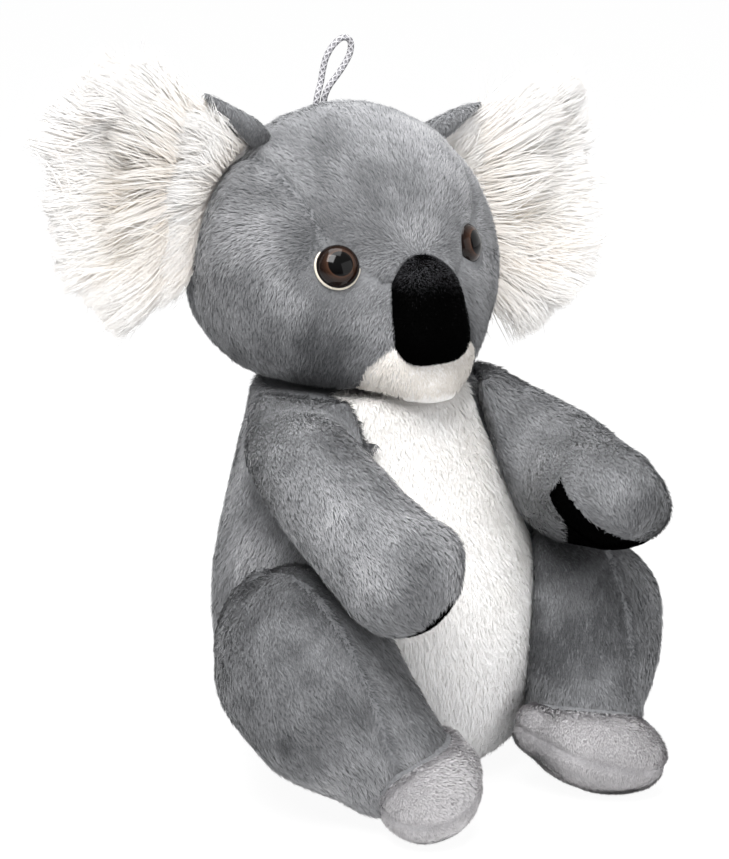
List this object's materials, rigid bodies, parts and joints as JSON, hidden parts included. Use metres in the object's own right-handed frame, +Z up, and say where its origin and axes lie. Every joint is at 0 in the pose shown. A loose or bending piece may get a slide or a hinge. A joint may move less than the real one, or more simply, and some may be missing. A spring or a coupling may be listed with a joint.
{
  "type": "plush koala",
  "caption": "Seated plush koala with long-haired ears, a head that turns, arms that lift, legs that spread and a hanging loop on the crown.",
  "frame": {"origin": "on the flat underside of the seat, where the toy rests on a surface", "axes": "+X towards the toy's own left side, -Y the way it faces, +Z up"},
  "size_m": [0.261, 0.1839, 0.2691],
  "materials": {
    "grey_plush": "short brushed plush pile",
    "white_plush": "short white plush pile",
    "long_white_hair": "long silky white pile",
    "pale_foot_plush": "very short pale grey nap",
    "black_plush": "very short black nap",
    "glossy_eye": "clear dome over a brown iris and a black pupil",
    "eye_washer": "moulded",
    "fibre_filling": "loose polyester fibre",
    "pellet_pouch": "plain woven pouch of pellets",
    "braided_cord": "fine grey braid"
  },
  "bodies": {
    "torso": {"belly_panel": "white_plush", "torso_side_left": "grey_plush", "torso_side_right": "grey_plush", "seat_panel": "grey_plush", "pellet_pouch": "pellet_pouch", "torso_filling": "fibre_filling"},
    "head": {"head_forehead": "grey_plush", "head_chin": "white_plush", "head_cheek_left": "grey_plush", "head_cheek_right": "grey_plush", "head_back_left": "grey_plush", "head_back_right": "grey_plush", "head_filling": "fibre_filling", "eye_left": "glossy_eye", "eye_right": "glossy_eye", "eye_washer_left": "eye_washer", "eye_washer_right": "eye_washer", "nose_cover": "black_plush", "nose_filling": "fibre_filling", "hanging_loop": "braided_cord"},
    "ear_left": {"ear_left_back": "grey_plush", "ear_left_hair": "long_white_hair"},
    "arm_left": {"arm_left_sleeve": "grey_plush", "arm_left_palm": "black_plush", "arm_left_filling": "fibre_filling"},
    "leg_left": {"leg_left_outer": "grey_plush", "leg_left_inner": "grey_plush", "leg_left_filling": "fibre_filling", "foot_left_top": "pale_foot_plush", "foot_left_sole": "pale_foot_plush", "foot_left_filling": "fibre_filling"},
    "ear_right": {"ear_right_back": "grey_plush", "ear_right_hair": "long_white_hair"},
    "arm_right": {"arm_right_sleeve": "grey_plush", "arm_right_palm": "black_plush", "arm_right_filling": "fibre_filling"},
    "leg_right": {"leg_right_outer": "grey_plush", "leg_right_inner": "grey_plush", "leg_right_filling": "fibre_filling", "foot_right_top": "pale_foot_plush", "foot_right_sole": "pale_foot_plush", "foot_right_filling": "fibre_filling"}
  },
  "joints": [
    {"name": "head_turn", "type": "hinge", "parent": "torso", "child": "head", "pos_m": [0, 0.0076, 0.146], "axis": [0, 0, 1], "range_deg": [-25, 25], "stiffness_Nm_per_rad": 0.05},
    {"name": "ear_left_fold", "type": "hinge", "parent": "head", "child": "ear_left", "pos_m": [0.0561, 0.029, 0.209], "axis": [0, 0, -1], "range_deg": [-15, 15], "stiffness_Nm_per_rad": 0.012},
    {"name": "arm_left_raise", "type": "hinge", "parent": "torso", "child": "arm_left", "pos_m": [0.043, -0.012, 0.125], "axis": [-1, 0, 0], "range_deg": [0, 40], "stiffness_Nm_per_rad": 0.03},
    {"name": "leg_left_spread", "type": "hinge", "parent": "torso", "child": "leg_left", "pos_m": [0.046, -0.002, 0.054], "axis": [0, 0, 1], "range_deg": [0, 20], "stiffness_Nm_per_rad": 0.05},
    {"name": "ear_right_fold", "type": "hinge", "parent": "head", "child": "ear_right", "pos_m": [-0.0561, 0.029, 0.209], "axis": [0, 0, 1], "range_deg": [-15, 15], "stiffness_Nm_per_rad": 0.012},
    {"name": "arm_right_raise", "type": "hinge", "parent": "torso", "child": "arm_right", "pos_m": [-0.043, -0.012, 0.125], "axis": [-1, 0, 0], "range_deg": [0, 40], "stiffness_Nm_per_rad": 0.03},
    {"name": "leg_right_spread", "type": "hinge", "parent": "torso", "child": "leg_right", "pos_m": [-0.046, -0.002, 0.054], "axis": [0, 0, -1], "range_deg": [0, 20], "stiffness_Nm_per_rad": 0.05}
  ]
}
